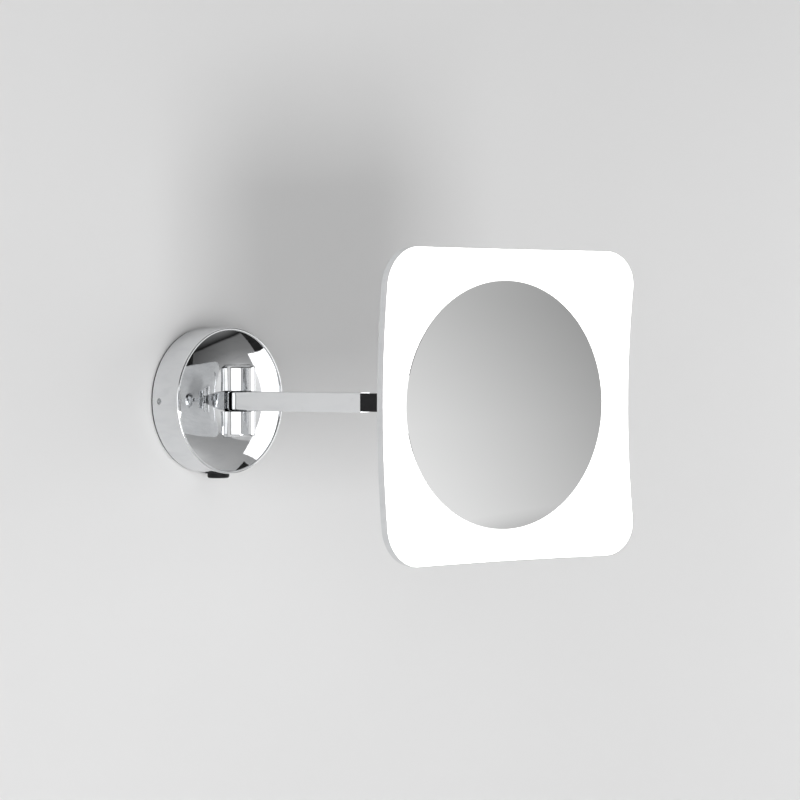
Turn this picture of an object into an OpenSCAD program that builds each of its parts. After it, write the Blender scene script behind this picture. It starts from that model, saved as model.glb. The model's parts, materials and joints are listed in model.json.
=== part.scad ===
// Wall mirror on a single swinging arm, with a lit square head.
// Frame: X right along the wall, Y into the wall, Z up. The wall face is y = 0 and
// everything stands in front of it, at negative y. The origin is the centre of the cable
// hole in the wall plate. The arm is drawn swung out from the wall, as it is used.

/* [Base] */
// outside diameter of the chrome base cover
base_dia = 100; // [90:1:130]
// depth of the cover's straight rim, from the wall to the lip
base_depth = 26; // [24:0.5:32]
// wall thickness of the cover
cover_t = 2; // [1.5:0.1:2.5]
// width of the flat lip round the front of the cover
lip_w = 1.5; // [1:0.1:3]
// step from the lip down to the edge of the dome
lip_step = 0.5; // [0.2:0.1:1]
// rounding of the lip's outer edge
lip_round = 0.9; // [0.3:0.1:1.4]
// height of the domed front above its own edge
dome_h = 7; // [5:0.5:10]
// radius of the flat middle of the dome
dome_flat_r = 16; // [10:1:22]
// thickness of the rubber gasket between cover and wall
gasket_t = 1.2; // [0.8:0.1:2]
// width of the gasket ring
gasket_w = 4; // [3:0.5:5]

/* [Wall plate] */
// thickness of the steel wall plate
plate_t = 2; // [1.5:0.1:3]
// distance between the two wall screw slots
wall_screw_pitch = 60; // [50:1:66]
// width of each wall screw slot
slot_w = 5; // [4:0.5:6]
// overall length of each wall screw slot
slot_len = 9; // [7:0.5:11]
// radius of the cable hole through the grommet
cable_r = 4; // [3:0.5:5]
// wall of the cable grommet inside the plate hole
grommet_t = 3; // [2:0.5:4]
// length of the grommet along the cable
grommet_len = 5; // [4:0.5:7]
// diameter of the two side screws
side_screw_dia = 4; // [3:0.5:5]
// distance of the side screws from the wall
side_screw_y = 8; // [7:0.5:10]
// width of the bent tabs that take the side screws
tab_w = 12; // [9:1:16]

/* [Wall hinge] */
// diameter of the hinge barrel
barrel_dia = 25; // [21:0.5:30]
// height of the hinge barrel
barrel_h = 49; // [42:1:60]
// rounding of the barrel's ends
barrel_round = 2.2; // [1:0.1:3]
// depth of the barrel's axis below the flat of the dome
barrel_sink = 0.5; // [0:0.5:1]
// diameter of the hinge pins
pin_dia = 6; // [5:0.5:7]
// running gap between a pin and its bush
pin_gap = 0.05; // [0.03:0.01:0.08]
// thickness of the friction washers
washer_t = 0.4; // [0.3:0.1:0.8]
// play left on each side of the arm's ends
side_play = 0.05; // [0.03:0.01:0.1]
// gap between the arm's round end and the fork behind it
fork_gap = 0.6; // [0.4:0.1:1]
// web left behind the arm's round end
fork_web = 2.4; // [2:0.1:4]
// gap between the barrel and the window in the cover
window_gap = 0.2; // [0.1:0.05:0.5]
// thickness of the steel carrier plate inside the cover
carrier_t = 2.5; // [2:0.1:3]
// diameter of the small inside screws
small_screw_dia = 3; // [2.5:0.5:3.5]
// diameter of the two fork screws
fork_screw_dia = 4; // [3:0.5:5]
// distance between the two fork screws
fork_screw_pitch = 28.4; // [24:0.2:34]
// distance between the carrier's screws along the wall
post_pitch_x = 64; // [58:1:70]
// distance between the carrier's screws up and down
post_pitch_z = 36; // [30:1:44]

/* [Inside the base] */
// width of the lamp driver
driver_w = 50; // [40:1:54]
// height of the lamp driver
driver_h = 24; // [18:1:25]
// depth of the lamp driver
driver_d = 13.5; // [10:0.5:14]
// height of the lamp driver's middle above the cable hole
driver_up = 22; // [21.5:0.5:24]
// width of the terminal block
term_w = 30; // [24:1:34]
// height of the terminal block
term_h = 12; // [10:1:13]
// depth of the terminal block
term_d = 12; // [9:0.5:13]
// distance of the terminal block's middle below the cable hole
term_down = 16.5; // [16:0.5:18]
// distance between the terminals
term_pitch = 9; // [7:0.5:10]
// distance of the earth stud to the left of the cable hole
earth_x = 21; // [20:0.5:24]
// distance of the earth stud below the cable hole
earth_z = 25; // [22:0.5:27]

/* [Switch] */
// diameter of the push button
button_dia = 15; // [12:0.5:16]
// how far the button stands out of the bezel
button_out = 3.2; // [2.5:0.1:5]
// travel of the button
button_travel = 1.8; // [1:0.1:2]
// gap round the button
button_gap = 0.3; // [0.2:0.05:0.5]
// width of the bezel round the button
bezel_w = 1; // [0.8:0.1:1.4]
// thickness of the bezel
bezel_t = 0.9; // [0.6:0.1:1.5]
// distance of the button's axis from the wall
switch_y = 13.1; // [12.5:0.1:14]
// length of the switch body inside the base
switch_len = 16; // [12:0.5:17]

/* [Arm] */
// distance between the arm's two hinge axes
arm_len = 172.5; // [140:0.5:240]
// height of the arm bar
arm_h = 13.3; // [11:0.1:16]
// width of the arm bar
arm_w = 14; // [11:0.1:15]
// rounding of the arm bar's long edges
arm_round = 1.2; // [0.5:0.1:2]
// distance from the black collar to the head hinge
collar_end = 54.5; // [44:0.5:80]
// length of the black collar
collar_len = 20; // [14:1:26]
// how much the collar is lower and narrower than the bar, each side
collar_inset = 0.6; // [0.3:0.1:1.2]
// rounding of the collar's ends, seen from the side
collar_round = 1.6; // [0.5:0.1:2.5]
// radius of the wire way along the arm
wire_r = 3.5; // [2.5:0.1:4]
// length of the joining tube inside each half of the arm
spigot_run = 14; // [10:1:18]
// wall of the joining tube inside the collar
tube_t = 1.2; // [0.8:0.1:1.5]
// wall of the pin bushes
bush_t = 1; // [0.8:0.1:1.2]
// angle between the arm and the wall, as drawn
arm_rest = 74; // [60:1:110]

/* [Head joint] */
// angle of the head from facing straight out, as drawn, turned to the left
head_yaw = 11.4; // [0:0.1:20]
// distance from the head's swivel axis forward to its tilt axis
tilt_fwd = 19; // [18.5:0.5:24]
// diameter of the tilt eye
eye_dia = 11; // [9:0.5:12]
// width of the tilt eye
eye_w = 15; // [12:0.5:18]
// thickness of the bracket's ears
ear_t = 3; // [2.5:0.1:4]
// diameter of the tilt bolt
bolt_dia = 5; // [4:0.5:6]
// distance from the shell's back to the tilt axis
tilt_off = 8; // [7.5:0.5:10]
// thickness of the bracket's foot
foot_t = 2; // [1.5:0.1:2.5]

/* [Head] */
// width and height of the square head
head_size = 200; // [160:1:240]
// corner radius of the head
head_corner = 24; // [16:1:32]
// radius of the hollow front surface
front_r = 600; // [550:10:900]
// thickness of the head in its middle, from the glass to the flat on its back
head_t = 10.5; // [10:0.5:13]
// radius of the crowned back surface
crown_r = 360; // [340:5:520]
// height of crown taken off by the flat for the bracket
crown_cut = 0.7; // [0.6:0.1:1]
// wall of the rear shell
shell_t = 1.6; // [1.2:0.1:1.8]
// wall of the shell behind the front's layers, outside the crown
edge_wall = 1.2; // [1:0.1:1.6]
// width of the shell's edge round the front panel
rim_w = 1.1; // [0.8:0.1:2]
// width of the ledge the front panel sits on
ledge_w = 3; // [2:0.5:4]
// thickness of the lit front panel and of the mirror
panel_t = 3; // [2.5:0.1:3.2]
// diameter of the round mirror
mirror_dia = 160; // [120:1:164]
// gap between the mirror and the lit panel
mirror_gap = 0.15; // [0.1:0.05:0.3]
// thickness of the seal behind the panel
seal_t = 0.4; // [0.3:0.1:0.5]
// thickness of the clear light guide
guide_t = 1.2; // [1:0.1:1.5]
// thickness of the white reflector sheet
reflector_t = 0.4; // [0.3:0.1:0.5]
// thickness of the lamp board
board_t = 1; // [0.8:0.1:1.2]
// thickness of the foam tape between the mirror and the lamp board
tape_t = 1.2; // [1:0.1:1.5]
// number of lamps on the board
led_count = 24; // [12:2:36]

/* [Hidden] */
$fn = 96;
base_r = base_dia/2;
inner_r = base_r - cover_t;
lip_r = base_r - lip_w;
dome_z0 = base_depth - lip_step;
dome_top = dome_z0 + dome_h;
dome_run = lip_r - dome_flat_r;
dome_r = (dome_run*dome_run + dome_h*dome_h)/(2*dome_h);
plate_r = base_r - 4.5;
gromm_r = cable_r + grommet_t;
barrel_r = barrel_dia/2;
hinge_y = dome_top - barrel_sink;
pin_r = pin_dia/2;
arm_end_r = arm_w/2;
fork_slot = arm_h + 2*washer_t + 2*side_play;
web_back = hinge_y - arm_end_r - fork_gap - fork_web;
carrier_back = web_back - carrier_t;
head_depth = 2.4;
post_x = post_pitch_x/2;
post_z = post_pitch_z/2;
post_r = small_screw_dia/2 + 2.2;
fork_screw_z = fork_screw_pitch/2;
driver_z = driver_up;
driver_back = plate_t + 0.6;
term_z = -term_down;
button_r = button_dia/2;
bezel_in = button_r + button_gap;
bezel_r = bezel_in + bezel_w + 0.5;
neck_r = bezel_in + 0.7;
spot_z = sqrt(base_r*base_r - pow(bezel_r + 0.15, 2));
body_z = sqrt(inner_r*inner_r - pow(bezel_r, 2)) - 0.3;
button_end = spot_z + bezel_t + button_out;
collar_pos = arm_len - collar_end - collar_len;
collar_x1 = collar_pos + collar_len;
bush_r = pin_r + pin_gap + bush_t;
tilt_y = tilt_fwd;
glass_y = tilt_y + tilt_off + head_t;
eye_r = eye_dia/2;
ear_r = eye_r + 1;
bolt_r = bolt_dia/2;
ear_in = eye_w/2 + washer_t + side_play;
ear_out = ear_in + ear_t;
foot_w = 2*ear_out + 15;
foot_h = 28;
foot_sx = ear_out + 4;
foot_sz = 10;
half = head_size/2;
mirror_r = mirror_dia/2;
guide_in = mirror_r - 8;
board_out = mirror_r - 9;
board_in = board_out - 16;
board_d = panel_t + tape_t + 0.1;
led_t = 0.5;
back_d = panel_t + 0.1 + guide_t + reflector_t + 0.1;
pole = head_t + crown_cut;

// turns a shape drawn in the wall's plane so that its height stands out from the wall
module out(d = 0) translate([0, -d, 0]) rotate([90, 0, 0]) children();
// places a shape in the arm's own frame: x along the arm from the wall hinge
module on_arm() translate([0, -hinge_y, 0]) rotate([0, 0, -arm_rest]) children();
// places a shape in the head joint's frame: swivel axis at the origin, head towards -y
module on_head() on_arm() translate([arm_len, 0, 0])
 rotate([0, 0, arm_rest - head_yaw]) children();
// places a shape in the head's frame: middle of the glass at the origin, back towards +y
module on_glass() on_head() translate([0, -glass_y, 0]) children();
// square outline with rounded corners
module rsq(w, h, r) {
 square([w - 2*r, h], center = true);
 square([w, h - 2*r], center = true);
 for (x = [-1, 1], y = [-1, 1]) translate([x*(w/2 - r), y*(h/2 - r)]) circle(r = r);
}
// round plug along z with both end edges rounded
module round_bar(r, h, e) rotate_extrude() intersection() {
 rsq(2*r, h, e);
 translate([0, -h]) square([2*r, 2*h]);
}
// plain ring along z
module ring(ro, ri, h) difference() {
 cylinder(r = ro, h = h);
 translate([0, 0, -1]) cylinder(r = ri, h = h + 2);
}
// pan head screw along z: head below z = 0, shank above
module pan_screw(d, len) {
 difference() {
  translate([0, 0, -head_depth]) cylinder(r = d*0.9, h = head_depth);
  for (a = [0, 90]) rotate([0, 0, a])
   translate([-d*0.6, -0.35, -head_depth - 1]) cube([d*1.2, 0.7, 2.2]);
 }
 cylinder(r = d/2 - 0.05, h = len);
}
// half profile of the domed cover, for the outside (t = 0) or the inside (t = wall)
module dome_half(t) {
 square([dome_flat_r, dome_top - t]);
 intersection() {
  translate([dome_flat_r, dome_top - dome_r]) circle(r = dome_r - t, $fn = 200);
  translate([dome_flat_r - 0.01, 0])
   square([(t > 0 ? inner_r : lip_r) - dome_flat_r + 0.01, dome_top]);
 }
}
// half profile of the rim with its lip
module rim_half() {
 translate([lip_r - 0.5, 0]) square([lip_w + 0.5, base_depth - lip_round]);
 translate([lip_r - 0.0, 0]) square([lip_w - lip_round, base_depth]);
 translate([base_r - lip_round, base_depth - lip_round]) circle(r = lip_round);
}

module wall_plate() color([0.72, 0.73, 0.74]) {
 difference() {
  out() cylinder(r = plate_r, h = plate_t);
  out(-1) cylinder(r = gromm_r, h = plate_t + 2);
  for (s = [-1, 1]) translate([s*wall_screw_pitch/2, 0, 0]) {
   for (k = [-1, 1]) translate([k*(slot_len - slot_w)/2, 0, 0]) out(-1)
    cylinder(r = slot_w/2, h = plate_t + 2);
   translate([-(slot_len - slot_w)/2, -plate_t - 1, -slot_w/2])
    cube([slot_len - slot_w, plate_t + 2, slot_w]);
  }
  for (s = [-1, 1]) translate([s*(driver_w/2 + 4), 0, driver_z]) out(-1)
   cylinder(r = small_screw_dia/2, h = plate_t + 2);
  translate([-earth_x, 0, -earth_z]) out(-1) cylinder(r = 2, h = plate_t + 2);
 }
 for (s = [-1, 1]) difference() {
  translate([s*(plate_r - 1) - 1, -side_screw_y - 5, -tab_w/2])
   cube([2, side_screw_y + 5 - plate_t, tab_w]);
  translate([s*(plate_r - 1), -side_screw_y, 0]) rotate([0, 90, 0])
   cylinder(r = side_screw_dia/2 + 0.05, h = 4, center = true);
 }
}
module wall_gasket() color([0.1, 0.1, 0.1])
 out() ring(base_r - 0.3, base_r - 0.3 - gasket_w, gasket_t);
module cable_grommet() color([0.12, 0.12, 0.12]) {
 out() ring(gromm_r - 0.05, cable_r, grommet_len);
 out(plate_t + 0.05) ring(gromm_r + 2, gromm_r - 0.5, grommet_len - plate_t - 0.05);
}
module base_cover() color([0.85, 0.86, 0.87]) difference() {
 union() {
  out() rotate_extrude($fn = 200) difference() {
   union() {
    dome_half(0);
    rim_half();
   }
   dome_half(cover_t);
   translate([-1, -1]) square([base_r + 2, gasket_t + 1]);
   translate([-1, -1]) square([inner_r + 1, base_depth - lip_step - cover_t - 0.4]);
  }
  intersection() {
   out() rotate_extrude($fn = 200) dome_half(0.5);
   for (x = [-1, 1], z = [-1, 1]) translate([x*post_x, 0, z*post_z]) out(web_back)
    cylinder(r = post_r, h = dome_top);
  }
 }
 translate([-barrel_r - window_gap, -dome_top - 1, -barrel_h/2 - window_gap])
  cube([barrel_dia + 2*window_gap, dome_top + 1 - web_back, barrel_h + 2*window_gap]);
 for (s = [-1, 1]) translate([s*(base_r - 1), -side_screw_y, 0]) rotate([0, 90, 0])
  cylinder(r = side_screw_dia/2 + 0.15, h = 2*cover_t + 2, center = true);
 for (x = [-1, 1], z = [-1, 1]) translate([x*post_x, 0, z*post_z]) out(web_back - 1)
  cylinder(r = small_screw_dia/2, h = 5);
 translate([0, -switch_y, -base_r - 1]) cylinder(r = neck_r + 0.1, h = cover_t + 4);
 translate([-base_r, -switch_y - bezel_r - 0.15, -base_r - 1])
  cube([base_dia, 2*bezel_r + 0.3, base_r + 1 - spot_z]);
}
module side_screws() color([0.7, 0.71, 0.72]) for (s = [-1, 1])
 translate([s*(plate_r - 2.5), -side_screw_y, 0]) rotate([0, s*90, 0]) difference() {
  cylinder(r = side_screw_dia/2, h = base_r - plate_r + 2.1);
  for (a = [0, 90]) rotate([0, 0, a]) translate([-1.4, -0.4, base_r - plate_r + 0.9]) cube([2.8, 0.8, 3]);
 }
module hinge_carrier() color([0.72, 0.73, 0.74]) out(carrier_back) difference() {
 linear_extrude(carrier_t) rsq(2*(post_x + 5), 2*(post_z + 5), 6);
 for (x = [-1, 1], z = [-1, 1]) translate([x*post_x, z*post_z, -1])
  cylinder(r = small_screw_dia/2 + 0.1, h = carrier_t + 2);
 for (z = [-1, 1]) translate([0, z*fork_screw_z, -1])
  cylinder(r = fork_screw_dia/2 + 0.1, h = carrier_t + 2);
 translate([0, 0, -1]) cylinder(r = 4, h = carrier_t + 2);
}
module carrier_screws() color([0.65, 0.66, 0.67])
 for (x = [-1, 1], z = [-1, 1]) translate([x*post_x, 0, z*post_z])
  out(carrier_back) pan_screw(small_screw_dia, carrier_t + 3.6);
// hinge barrel cut by the slot for the arm's end: mid is the slot's bottom, at y = mid
module barrel_cut() {
 translate([-barrel_r - 1, -barrel_r - 1, -fork_slot/2])
  cube([barrel_dia + 2, barrel_r + 1 + arm_end_r + fork_gap, fork_slot]);
 translate([0, 0, -barrel_h]) cylinder(r = pin_r + 0.05, h = 2*barrel_h);
 for (s = [-1, 1]) translate([0, 0, s*barrel_h/2]) cylinder(r = pin_r + 1.2, h = 4, center = true);
}
module base_fork() color([0.85, 0.86, 0.87]) translate([0, -hinge_y, 0]) difference() {
 union() {
  round_bar(barrel_r, barrel_h, barrel_round);
  translate([-barrel_r, 0, -barrel_h/2]) cube([barrel_dia, hinge_y - web_back, barrel_h]);
 }
 barrel_cut();
 translate([-barrel_r - 1, hinge_y - web_back, -barrel_h]) cube([barrel_dia + 2, barrel_r, 2*barrel_h]);
 for (z = [-1, 1]) translate([0, hinge_y - web_back + 1, z*fork_screw_z])
  rotate([90, 0, 0]) cylinder(r = fork_screw_dia/2, h = 6.5);
 translate([0, hinge_y - web_back + 1, 0]) rotate([90, 0, 0]) cylinder(r = 2.5, h = 6);
}
module fork_screws() color([0.65, 0.66, 0.67])
 for (z = [-1, 1]) translate([0, 0, z*fork_screw_z])
  out(carrier_back) pan_screw(fork_screw_dia, carrier_t + 5);
module hinge_pin() translate([0, 0, -barrel_h/2 + 2.2]) cylinder(r = pin_r, h = barrel_h - 4.4);
module hinge_caps() for (s = [-1, 1]) translate([0, 0, s*(barrel_h/2 - 1)])
 cylinder(r = pin_r + 1.1, h = 1.9, center = true);
module hinge_washers() for (s = [-1, 1])
 translate([0, 0, s*(arm_h/2 + side_play + washer_t/2)])
  translate([0, 0, -washer_t/2]) ring(arm_end_r - 0.5, pin_r + 0.1, washer_t);
module base_pin() color([0.6, 0.6, 0.62]) translate([0, -hinge_y, 0]) hinge_pin();
module base_pin_caps() color([0.8, 0.81, 0.82]) translate([0, -hinge_y, 0]) hinge_caps();
module base_washers() color([0.1, 0.1, 0.1]) translate([0, -hinge_y, 0]) hinge_washers();
module led_driver() color([0.93, 0.93, 0.92]) difference() {
 union() {
  translate([0, 0, driver_z]) out(driver_back) linear_extrude(driver_d)
   rsq(driver_w, driver_h, 2);
  translate([0, 0, driver_z]) out(driver_back) linear_extrude(2)
   rsq(driver_w + 16, 9, 3);
 }
 for (s = [-1, 1]) translate([s*(driver_w/2 + 4), 0, driver_z]) out(driver_back - 1)
  cylinder(r = small_screw_dia/2 + 0.1, h = 5);
}
module driver_screws() color([0.65, 0.66, 0.67]) for (s = [-1, 1])
 translate([s*(driver_w/2 + 4), 0, driver_z]) translate([0, -driver_back - 2, 0])
  rotate([-90, 0, 0]) pan_screw(small_screw_dia, 3.6);
module terminal_block() color([0.94, 0.94, 0.92]) difference() {
 translate([0, 0, term_z]) out(plate_t + 0.05) linear_extrude(term_d) rsq(term_w, term_h, 1);
 for (i = [-1:1]) translate([i*term_pitch, 0, term_z]) {
  out(plate_t + term_d - 5) cylinder(r = 2.2, h = 8);
  translate([0, -plate_t - 4, -term_h]) cylinder(r = 1.5, h = 2*term_h);
 }
}
module terminal_screws() color([0.8, 0.66, 0.3])
 for (i = [-1:1]) translate([i*term_pitch, 0, term_z]) out(plate_t + term_d - 5) difference() {
  cylinder(r = 2.1, h = 3);
  translate([-3, -0.3, 2.2]) cube([6, 0.6, 2]);
 }
module earth_stud() color([0.8, 0.66, 0.3]) translate([-earth_x, 0, -earth_z]) {
 out(0.1) cylinder(r = 1.9, h = 11);
 out(plate_t + 0.05) difference() {
  cylinder(r = 4, h = 3, $fn = 6);
  translate([0, 0, -1]) cylinder(r = 1.95, h = 5);
 }
}
module switch_body() color([0.15, 0.15, 0.16]) translate([0, -switch_y, -body_z]) difference() {
 cylinder(r = bezel_in + 0.6, h = switch_len);
 translate([0, 0, -1]) cylinder(r = bezel_in, h = button_travel + 1.6);
 translate([0, 0, 1]) cylinder(r = 3.3, h = switch_len - 4);
}
module switch_bezel() color([0.05, 0.05, 0.05]) translate([0, -switch_y, 0]) {
 translate([0, 0, -spot_z - bezel_t]) ring(bezel_r, bezel_in, bezel_t);
 translate([0, 0, -spot_z]) ring(neck_r, bezel_in, spot_z - body_z - 0.05);
}
module switch_button() color([0.04, 0.04, 0.04]) translate([0, -switch_y, 0]) {
 translate([0, 0, -button_end]) rotate_extrude() {
  translate([0, 1.2]) square([button_r, button_end - body_z - 1.2 - 0.2]);
  square([button_r - 1.2, 2]);
  translate([button_r - 1.2, 1.2]) circle(r = 1.2);
 }
 translate([0, 0, -body_z - 0.5]) cylinder(r = 3, h = switch_len*0.5);
}
// bar running along x from x0 to x1
module bar(x0, x1, w, h, r) translate([x0, 0, 0]) rotate([90, 0, 90])
 linear_extrude(x1 - x0) rsq(w, h, r);
module arm_bar() color([0.85, 0.86, 0.87]) on_arm() difference() {
 union() {
  round_bar(arm_end_r, arm_h, arm_round);
  bar(0, collar_pos, arm_w, arm_h, arm_round);
 }
 translate([0, 0, -arm_h]) cylinder(r = bush_r + 0.02, h = 2*arm_h);
 translate([arm_end_r + 4, 0, 0]) rotate([0, 90, 0]) cylinder(r = wire_r, h = collar_pos);
}
module arm_end() color([0.85, 0.86, 0.87]) on_arm() difference() {
 union() {
  translate([arm_len, 0, 0]) round_bar(arm_end_r, arm_h, arm_round);
  bar(collar_x1, arm_len, arm_w, arm_h, arm_round);
 }
 translate([arm_len, 0, -arm_h]) cylinder(r = bush_r + 0.02, h = 2*arm_h);
 translate([collar_x1 - 1, 0, 0]) rotate([0, 90, 0])
  cylinder(r = wire_r, h = arm_len - collar_x1 - arm_end_r - 3);
}
module arm_collar() color([0.03, 0.03, 0.03]) on_arm() difference() {
 intersection() {
  bar(collar_pos, collar_x1, arm_w - 2*collar_inset, arm_h - 2*collar_inset, arm_round);
  translate([(collar_pos + collar_x1)/2, arm_w, 0]) rotate([90, 0, 0]) linear_extrude(2*arm_w)
   rsq(collar_len, arm_h - 2*collar_inset, collar_round);
 }
 translate([collar_pos - 1, 0, 0]) rotate([0, 90, 0]) cylinder(r = wire_r, h = collar_len + 2);
}
module arm_spigot() color([0.6, 0.6, 0.62]) on_arm()
 translate([collar_pos - spigot_run, 0, 0]) rotate([0, 90, 0])
  ring(wire_r - 0.05, wire_r - 0.05 - tube_t, collar_len + 2*spigot_run);
module pin_bushes() color([0.72, 0.52, 0.3]) on_arm() for (x = [0, arm_len])
 translate([x, 0, -arm_h/2]) ring(bush_r, pin_r + pin_gap, arm_h);

module head_fork() color([0.85, 0.86, 0.87]) on_head() difference() {
 union() {
  round_bar(barrel_r, barrel_h, barrel_round);
  translate([0, -tilt_y, 0]) rotate([0, 90, 0]) cylinder(r = eye_r, h = eye_w, center = true);
  translate([-eye_w/2, -tilt_y, -eye_r]) cube([eye_w, tilt_y - barrel_r + 2, eye_dia]);
 }
 rotate([0, 0, 180]) barrel_cut();
 translate([0, -tilt_y, 0]) rotate([0, 90, 0])
  cylinder(r = bolt_r + pin_gap, h = eye_w + 2, center = true);
}
module head_pin() color([0.6, 0.6, 0.62]) on_head() hinge_pin();
module head_pin_caps() color([0.05, 0.05, 0.05]) on_head() hinge_caps();
module head_washers() color([0.1, 0.1, 0.1]) on_head() hinge_washers();

module tilt_bracket() color([0.78, 0.79, 0.8]) on_head() difference() {
 union() {
  translate([0, -tilt_y - tilt_off + foot_t, 0]) rotate([90, 0, 0])
   linear_extrude(foot_t) rsq(foot_w, foot_h, 4);
  for (s = [-1, 1]) translate([s*(ear_in + ear_t/2), 0, 0]) {
   translate([0, -tilt_y, 0]) rotate([0, 90, 0]) cylinder(r = ear_r, h = ear_t, center = true);
   translate([-ear_t/2, -tilt_y - tilt_off + 0.5, -ear_r]) cube([ear_t, tilt_off - 0.5, 2*ear_r]);
  }
 }
 translate([0, -tilt_y, 0]) rotate([0, 90, 0])
  cylinder(r = bolt_r + 0.05, h = 4*ear_out, center = true);
 for (x = [-1, 1], z = [-1, 1]) translate([x*foot_sx, -tilt_y - tilt_off - 1, z*foot_sz])
  rotate([-90, 0, 0]) cylinder(r = small_screw_dia/2 + 0.1, h = foot_t + 2);
}
module bracket_screws() color([0.75, 0.76, 0.77]) on_head() for (x = [-1, 1], z = [-1, 1])
 translate([x*foot_sx, -tilt_y - tilt_off + foot_t, z*foot_sz]) rotate([90, 0, 0])
  pan_screw(small_screw_dia, foot_t + shell_t + 1.4);
module nut_plate() color([0.72, 0.73, 0.74]) on_glass() difference() {
 translate([0, head_t - shell_t - 0.05, 0]) rotate([90, 0, 0]) linear_extrude(1.4)
  rsq(foot_w, foot_h, 4);
 for (x = [-1, 1], z = [-1, 1]) translate([x*foot_sx, 0, z*foot_sz])
  rotate([-90, 0, 0]) cylinder(r = small_screw_dia/2, h = 2*head_t);
}
module tilt_bolt() color([0.75, 0.76, 0.77]) on_head() translate([0, -tilt_y, 0]) {
 translate([-ear_out - 3, 0, 0]) rotate([0, 90, 0]) cylinder(r = bolt_r, h = 2*ear_out + 6.2);
 translate([ear_out + 0.05, 0, 0]) rotate([0, 90, 0]) difference() {
  cylinder(r = bolt_r + 1.8, h = 2.6);
  translate([0, 0, 1.2]) cylinder(r = bolt_r*0.6, h = 4, $fn = 6);
 }
}
module tilt_nut() color([0.75, 0.76, 0.77]) on_head()
 translate([-ear_out - 3.05, -tilt_y, 0]) rotate([0, 90, 0]) difference() {
  cylinder(r = bolt_r + 1.9, h = 3, $fn = 6);
  translate([0, 0, -1]) cylinder(r = bolt_r + 0.05, h = 5);
 }
module tilt_washers() color([0.1, 0.1, 0.1]) on_head() for (s = [-1, 1])
 translate([s*(eye_w/2 + side_play + washer_t/2), -tilt_y, 0]) rotate([0, 90, 0])
  translate([0, 0, -washer_t/2]) ring(eye_r - 0.5, bolt_r + 0.1, washer_t);

// ball whose surface lies d behind the glass's front face
module front_ball(d) translate([0, -front_r, 0]) sphere(r = front_r + d, $fn = 200);
// square block of the head's outline, inset by e, standing from y0 to y1
module slab(e, y0, y1) translate([0, y1, 0]) rotate([90, 0, 0])
 linear_extrude(y1 - y0) rsq(head_size - 2*e, head_size - 2*e, head_corner - e);
// layer of the head that follows the front face, from d0 to d1 behind it, inset by e
module layer(e, d0, d1) difference() {
 intersection() {
  slab(e, -40, head_t);
  front_ball(d1);
 }
 front_ball(d0);
}
module round_cut(r) translate([0, 2*head_t, 0]) rotate([90, 0, 0]) cylinder(r = r, h = 80);
// back of the head, t inside its face: a round crown that runs out into an even edge
module crowned(t, d) {
 translate([0, pole - crown_r, 0]) sphere(r = crown_r - t, $fn = 200);
 front_ball(d);
}
module back_shell() color([0.82, 0.83, 0.84]) on_glass() difference() {
 intersection() {
  slab(0, -40, head_t);
  crowned(0, back_d + edge_wall);
 }
 front_ball(0);
 intersection() {
  slab(rim_w, -40, head_t);
  front_ball(panel_t + 0.05);
 }
 intersection() {
  slab(rim_w + ledge_w, -40, head_t - shell_t);
  crowned(shell_t, back_d);
 }
 for (x = [-1, 1], z = [-1, 1]) translate([x*foot_sx, 0, z*foot_sz])
  rotate([-90, 0, 0]) cylinder(r = small_screw_dia/2 + 0.1, h = 2*head_t);
}
module panel_seal() color([0.12, 0.12, 0.12]) on_glass() difference() {
 layer(rim_w + ledge_w + 0.1, panel_t + 0.02, panel_t + 0.02 + seal_t);
 slab(rim_w + ledge_w + 3, -50, 2*head_t);
}
module front_panel() color([0.98, 0.98, 0.96]) on_glass() difference() {
 layer(rim_w + 0.1, 0, panel_t);
 round_cut(mirror_r + mirror_gap);
}
module mirror_disc() color([0.75, 0.77, 0.78]) on_glass() intersection() {
 difference() {
  front_ball(panel_t);
  front_ball(0);
 }
 round_cut(mirror_r);
}
module light_guide() color([0.9, 0.93, 0.95]) on_glass() difference() {
 layer(rim_w + ledge_w + 3.2, panel_t + 0.05, panel_t + 0.05 + guide_t);
 round_cut(guide_in);
}
module reflector_sheet() color([0.96, 0.96, 0.96]) on_glass() difference() {
 layer(rim_w + ledge_w + 3.2, panel_t + 0.1 + guide_t, panel_t + 0.1 + guide_t + reflector_t);
 round_cut(guide_in);
}
module board_tape() color([0.2, 0.2, 0.2]) on_glass() difference() {
 intersection() {
  layer(10, panel_t + 0.05, panel_t + 0.05 + tape_t);
  round_cut(board_out - 6);
 }
 round_cut(board_in + 1);
}
module led_board() color([0.9, 0.92, 0.9]) on_glass() difference() {
 intersection() {
  layer(10, board_d, board_d + board_t);
  round_cut(board_out);
 }
 round_cut(board_in);
}
// soft ring that fills the room between the lamp board and the rear shell
module foam_ring() color([0.25, 0.25, 0.26]) on_glass() difference() {
 intersection() {
  translate([0, pole - crown_r, 0]) sphere(r = crown_r - shell_t - 0.15, $fn = 200);
  round_cut(board_out - 3);
 }
 front_ball(board_d + board_t + 0.2);
 round_cut(board_in + 3);
}
module leds() color([1, 0.95, 0.75]) on_glass() for (i = [0:led_count - 1])
 rotate([0, i*360/led_count, 0])
  translate([board_out - 3, board_d - 0.2 - pow(board_out - 3, 2)/(2*front_r), 0])
   translate([-1.4, -led_t, -1.4]) cube([2.8, led_t, 2.8]);

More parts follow.
